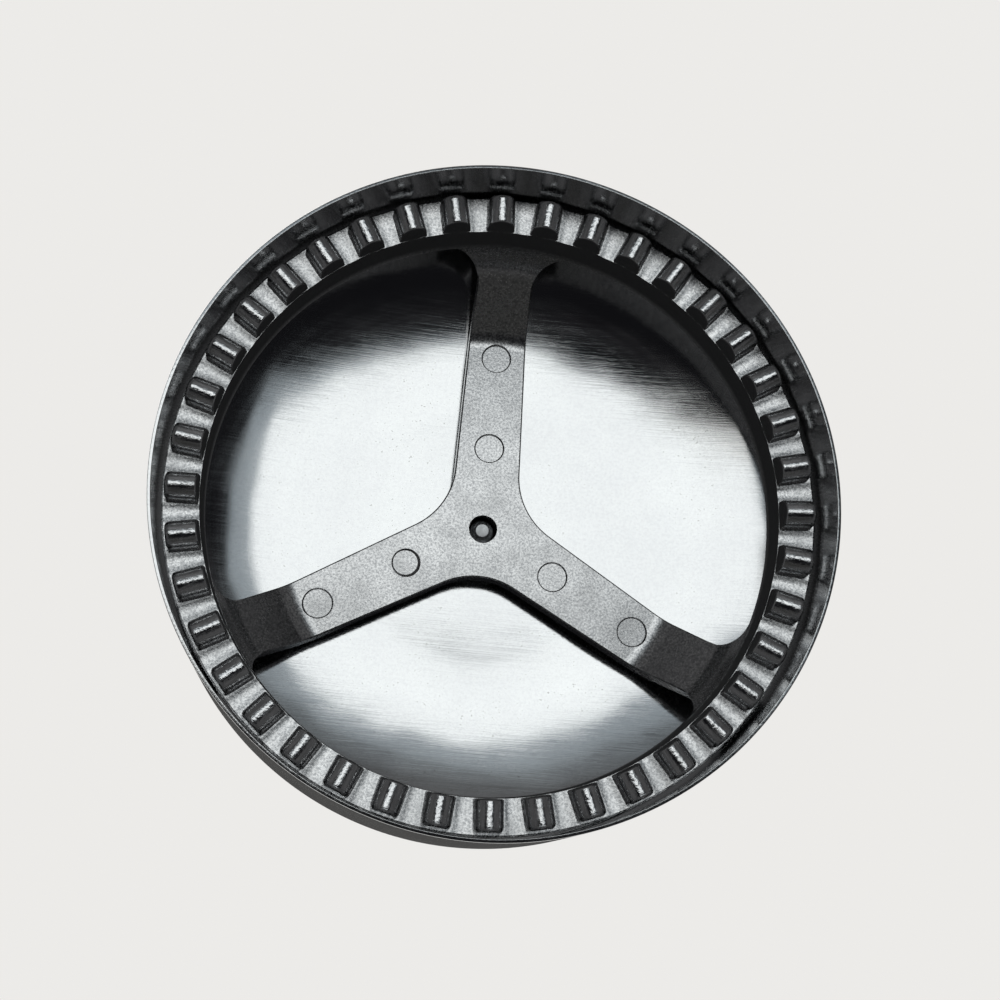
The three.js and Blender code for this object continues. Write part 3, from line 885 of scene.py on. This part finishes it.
def dress(obj, node_name, body, slot):
    """Lets a piece stand for a node of the model, ride on its body and take its finish."""
    obj.data.materials.clear()
    obj.data.materials.append(MATERIALS[slot])
    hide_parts(node_name)
    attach(obj, body)


dress(spider_mesh("spider_casting"), "crimping_spider", "plunger", "casting")

shell = turned("shell_skin", shell_outline(), SHELL_SIDES, RIM_CORNER_STEPS)
dress(shell, "cutter_shell", "shell", "polished_shell")

lip_radius = BUSH_RADIUS + LIP_OVERHANG
flange_radius = BUSH_RADIUS + FLANGE_WIDTH
spigot_top = FLANGE_TOP + SPIGOT_HEIGHT
bush = [
    (BUSH_BORE, LIP_BOTTOM, 0.12), (lip_radius, LIP_BOTTOM, 0.18), (lip_radius, LIP_TOP, 0.1),
    (BUSH_RADIUS, LIP_TOP, 0.0), (BUSH_RADIUS, FLANGE_BOTTOM, 0.0), (flange_radius, FLANGE_BOTTOM, 0.1),
    (flange_radius, FLANGE_TOP, 0.3), (BUSH_RADIUS, FLANGE_TOP, 0.15), (BUSH_RADIUS, spigot_top, 0.25),
    (BUSH_BORE, spigot_top, 0.15),
]
dress(turned("bush_turned", bush), "guide_bush", "shell", "brass")

retainer_low = LIP_TOP + SEAT_GAP
retainer_high = retainer_low + RETAINER_THICKNESS
retainer = washer_outline(ROOF_HOLE, BUSH_RADIUS + RETAINER_WIDTH, retainer_low, retainer_high, 0.15)
dress(turned("retainer_ring", retainer), "bush_retainer", "shell", "steel")

spring = make_object("spring_wire", *tube_part(spring_path(), WIRE_RADIUS, WIRE_CHAMFER))
dress(spring, "return_spring", "shell", "steel")
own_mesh(spring)

cup_outside = CUP_INSIDE + CUP_WALL
skirt_bottom = CUP_BOTTOM - CUP_SKIRT
cup = [
    (BUSH_BORE, CUP_BOTTOM, 0.1), (CUP_INSIDE, CUP_BOTTOM, 0.35), (CUP_INSIDE, skirt_bottom, 0.15),
    (cup_outside, skirt_bottom, 0.2), (cup_outside, CUP_TOP, 0.6), (BUSH_BORE, CUP_TOP, 0.15),
]
dress(turned("cup_pressed", cup), "spring_cup", "cup", "steel")

washer_low = HUB_TOP + SEAT_GAP
washer_high = washer_low + LOCK_WASHER_THICKNESS
lock_washer = washer_outline(TAPPED_RADIUS, SLEEVE_RADIUS, washer_low, washer_high, 0.12)
dress(turned("lock_washer", lock_washer), "hub_lock_washer", "plunger", "steel")

sleeve_low, sleeve_high = washer_high + SEAT_GAP, BASE_WASHER_BOTTOM - SEAT_GAP
sleeve = washer_outline(TAPPED_RADIUS, SLEEVE_RADIUS, sleeve_low, sleeve_high, 0.2)
dress(turned("sleeve_turned", sleeve), "stem_sleeve", "plunger", "steel")

base_washer = washer_outline(TAPPED_RADIUS, KNOB_FOOT, BASE_WASHER_BOTTOM, BASE_WASHER_TOP, 0.25)
dress(turned("base_washer", base_washer), "knob_base_washer", "plunger", "steel")

dress(turned("knob_moulded", knob_outline(), KNOB_SIDES), "knob", "plunger", "knob_plastic")

insert_low = KNOB_BOTTOM + SEAT_GAP
insert = washer_outline(TAPPED_RADIUS, INSERT_RADIUS, insert_low, insert_low + INSERT_LENGTH, 0.2)
dress(turned("insert_turned", insert), "knob_insert", "plunger", "brass")

stud_low, stud_high = HUB_HEIGHT + STUD_RECESS, KNOB_BOTTOM + STUD_REACH
stud = make_object("stud_threaded", *threaded_part(STUD_RADIUS, stud_low, stud_high, STUD_CHAMFER))
for face in stud.data.polygons:
    face.use_smooth = len(face.vertices) == 4  # the end caps stay flat
dress(stud, "stem_stud", "plunger", "steel")


# Camera, at the photograph's viewing angle

LENS_PX = 1608.86  # focal length in pixels of the photograph's frame
FRAME_PX = 1000
SENSOR = 36.0
VIEW_TURN = Vector((-0.2407, -0.1099, 0.0))  # rotation vector from the model to the camera
VIEW_PLACE = Vector((0.2462, -1.7111, 207.4167))  # the model's origin seen by the camera, millimetres
MODEL_TURN = 1.4834 - math.pi / 2  # turn about the axis that the fit to the photograph gave


def make_camera():
    data = bpy.data.cameras.new("camera")
    data.sensor_width = SENSOR
    data.lens = LENS_PX / FRAME_PX * SENSOR
    data.clip_start = 0.005
    data.clip_end = 20
    camera = bpy.data.objects.new("camera", data)
    bpy.context.scene.collection.objects.link(camera)
    seen = Matrix.Rotation(VIEW_TURN.length, 3, VIEW_TURN) @ Matrix.Rotation(-MODEL_TURN, 3, "Z")
    place = seen.transposed() @ (-VIEW_PLACE) * MM
    basis = Matrix((seen[0], -seen[1], -seen[2])).transposed()
    camera.matrix_world = Matrix.Translation(place) @ basis.to_4x4()
    bpy.context.scene.camera = camera


# Stage and light

# Floor, its radii in millimetres
FLOOR_SIDES = 256
FLOOR_HOLE = RIM_RADIUS * 1.0004
FLOOR_NEAR = 120.0
FLOOR_FADE = 600.0
FLOOR_REACH = 3000.0
FLOOR_COLOUR = (0.8, 0.79, 0.775)

# World
PALE = (0.84, 0.83, 0.81)
OVERHEAD = (0.07, 0.069, 0.067)
DIM = (0.068, 0.068, 0.069)
DARK = (0.006, 0.006, 0.007)
PATCHES = (  # direction and colour of a brighter and a darker patch low down
    ((0.05, -0.74, -0.67), (0.12, 0.121, 0.123)),
    ((0.05, 0.79, -0.61), (0.034, 0.034, 0.033)),
)
PATCH_SPREAD = (0.92, 0.98)  # cosines of the angles from a patch's edge to its full colour
AMBIENT = 0.75  # the world's strength where neither the camera nor a reflection sees it

# Heights on the world's unit sphere over which one colour gives way to the next
CEILING_LEVELS = (0.93, 0.975)
HORIZON_LEVELS = (-0.04, 0.02)
DIM_LEVELS = (-0.88, -0.74)

# Name, place, what it faces, width and height in metres, radiance, colour, and turn in degrees
LAMPS = (
    ("softbox_below", (-0.0075, -0.148, -0.6), (-0.0075, -0.148, 0), (0.355, 0.174), 0.81, (1, 1, 0.97), 8),
    ("haze_near", (0.015, -0.182, -0.61), (0.015, -0.182, 0), (0.41, 0.24), 0.25, (0.82, 0.93, 1), 0),
    ("haze_below", (0.01, -0.2, -0.62), (0.01, -0.2, 0), (0.44, 0.3), 0.12, (0.85, 0.95, 1), 0),
    ("key_above", (-0.45, -0.6, 0.8), (0, 0, 0.03), (0.8, 0.8), 2.2, (1, 1, 1), 0),
)


def make_floor():
    """A pale floor round the rim that fades far off, seen from above only: the shell stays open below."""
    rings = (FLOOR_REACH, FLOOR_FADE, FLOOR_NEAR, FLOOR_HOLE)
    verts = [point for radius in rings for point in ring_at(radius, 0.0, FLOOR_SIDES)]
    floor = make_object("floor", verts, grid_faces(len(rings), FLOOR_SIDES))
    material, tree, shader = new_material("floor")
    shader.inputs["Base Color"].default_value = (*FLOOR_COLOUR, 1)
    shader.inputs["Roughness"].default_value = 0.8
    clear = node(tree, "ShaderNodeBsdfTransparent")
    below = node(tree, "ShaderNodeNewGeometry").outputs["Backfacing"]
    far = spread(tree, way_out(tree), FLOOR_FADE * MM, FLOOR_REACH * MM, 0, 1)
    gone = number_math(tree, "MAXIMUM", below, far)
    mix = node(tree, "ShaderNodeMixShader", {0: gone, 1: shader.outputs["BSDF"], 2: clear.outputs["BSDF"]})
    feed(tree, tree.nodes["Material Output"], {"Surface": mix.outputs[0]})
    floor.data.materials.append(material)


def make_world():
    """Pale above the floor, dim below it with two soft patches, and dark further down.

    Metal sees a dark ceiling straight above, and the camera sees the pale colour all round.
    """
    world = bpy.data.worlds.new("studio")
    bpy.context.scene.world = world
    world.use_nodes = True
    tree = world.node_tree
    way = own(tree, "Generated")
    height = node(tree, "ShaderNodeSeparateXYZ", {0: way}).outputs["Z"]
    rays = node(tree, "ShaderNodeLightPath").outputs
    below = tint(tree, spread(tree, height, *DIM_LEVELS, 0, 1), DARK, DIM)
    for middle, patch in PATCHES:
        near = vector_math(tree, "DOT_PRODUCT", way, middle, "Value")
        below = tint(tree, spread(tree, near, *PATCH_SPREAD, 0, 1), below, patch)
    ceiling = product(tree, spread(tree, height, *CEILING_LEVELS, 0, 1), rays["Is Glossy Ray"])
    above = tint(tree, ceiling, PALE, OVERHEAD)
    surroundings = tint(tree, spread(tree, height, *HORIZON_LEVELS, 0, 1), below, above)
    seen = number_math(tree, "MAXIMUM", rays["Is Camera Ray"], rays["Is Glossy Ray"])
    feed(tree, tree.nodes["Background"], {
        "Color": tint(tree, rays["Is Camera Ray"], surroundings, PALE),
        "Strength": spread(tree, seen, 0, 1, AMBIENT, 1.0),
    })


def softbox(name, place, target, size, radiance, colour, turn):
    """A rectangular lamp, turned about the way it shines. Radiance 1 shows as white in a mirror."""
    data = bpy.data.lights.new(name, "AREA")
    data.color = colour
    data.shape = "RECTANGLE"
    data.size, data.size_y = size
    data.energy = radiance * math.pi * size[0] * size[1]
    lamp = bpy.data.objects.new(name, data)
    lamp.visible_camera = False
    bpy.context.scene.collection.objects.link(lamp)
    lamp.location = place
    facing = (Vector(target) - Vector(place)).to_track_quat("-Z", "Y").to_matrix()
    lamp.rotation_euler = (facing @ Matrix.Rotation(math.radians(turn), 3, "Z")).to_euler()


make_camera()
make_floor()
make_world()
for lamp in LAMPS:
    softbox(*lamp)
bpy.context.scene.view_settings.view_transform = "Standard"
